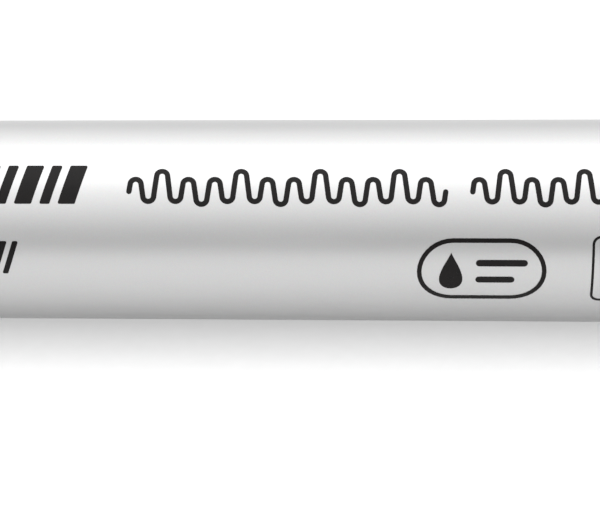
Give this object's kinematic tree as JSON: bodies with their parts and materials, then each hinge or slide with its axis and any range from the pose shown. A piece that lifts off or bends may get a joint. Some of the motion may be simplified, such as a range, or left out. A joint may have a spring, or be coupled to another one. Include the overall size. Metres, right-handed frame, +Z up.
{
  "type": "whiteboard marker",
  "caption": "Capped bullet-tip whiteboard marker with a tapered silver barrel, a black cap with a pocket clip and a stepped black end plug.",
  "frame": {"origin": "centre of the flat rear face of the end plug, on the marker's axis", "axes": "+X along the marker's axis towards the rear, so the cap's closed end points along -X; +Z up as the marker lies on a table on the rear edge of its barrel, the rim of its cap and one edge of its clip, with the clip on the -Y side"},
  "size_m": [0.14, 0.0192, 0.0164],
  "materials": {
    "barrel_silver": "satin",
    "nozzle_silver": "satin",
    "nib_fibre": "matte",
    "reservoir_fibre": "matte",
    "clear_film": "gloss",
    "plug_black": "satin",
    "cap_black": "satin",
    "natural_plastic": "matte",
    "print_black": "satin"
  },
  "bodies": {
    "barrel": {"barrel": "barrel_silver", "front_section": "nozzle_silver", "nib": "nib_fibre", "ink_reservoir": "reservoir_fibre", "reservoir_film": "clear_film", "end_plug": "plug_black"},
    "seal_cup": {"seal_cup": "natural_plastic"},
    "cap": {"cap_shell": "cap_black"},
    "clip": {"clip_arm": "cap_black"}
  },
  "joints": [
    {"name": "cap_pull", "type": "slide", "parent": "barrel", "child": "seal_cup", "axis": [-1, 0, 0], "range_m": [0, 0.045]},
    {"name": "cap_twist", "type": "hinge", "parent": "seal_cup", "child": "cap", "pos_m": [-0.117, 0, 0], "axis": [1, 0, 0], "continuous": true},
    {"name": "clip_flex", "type": "hinge", "parent": "cap", "child": "clip", "pos_m": [-0.134, -0.00971, -0.00558], "axis": [0, 0.4983, -0.867], "range_deg": [0, 6], "stiffness_Nm_per_rad": 0.5}
  ]
}
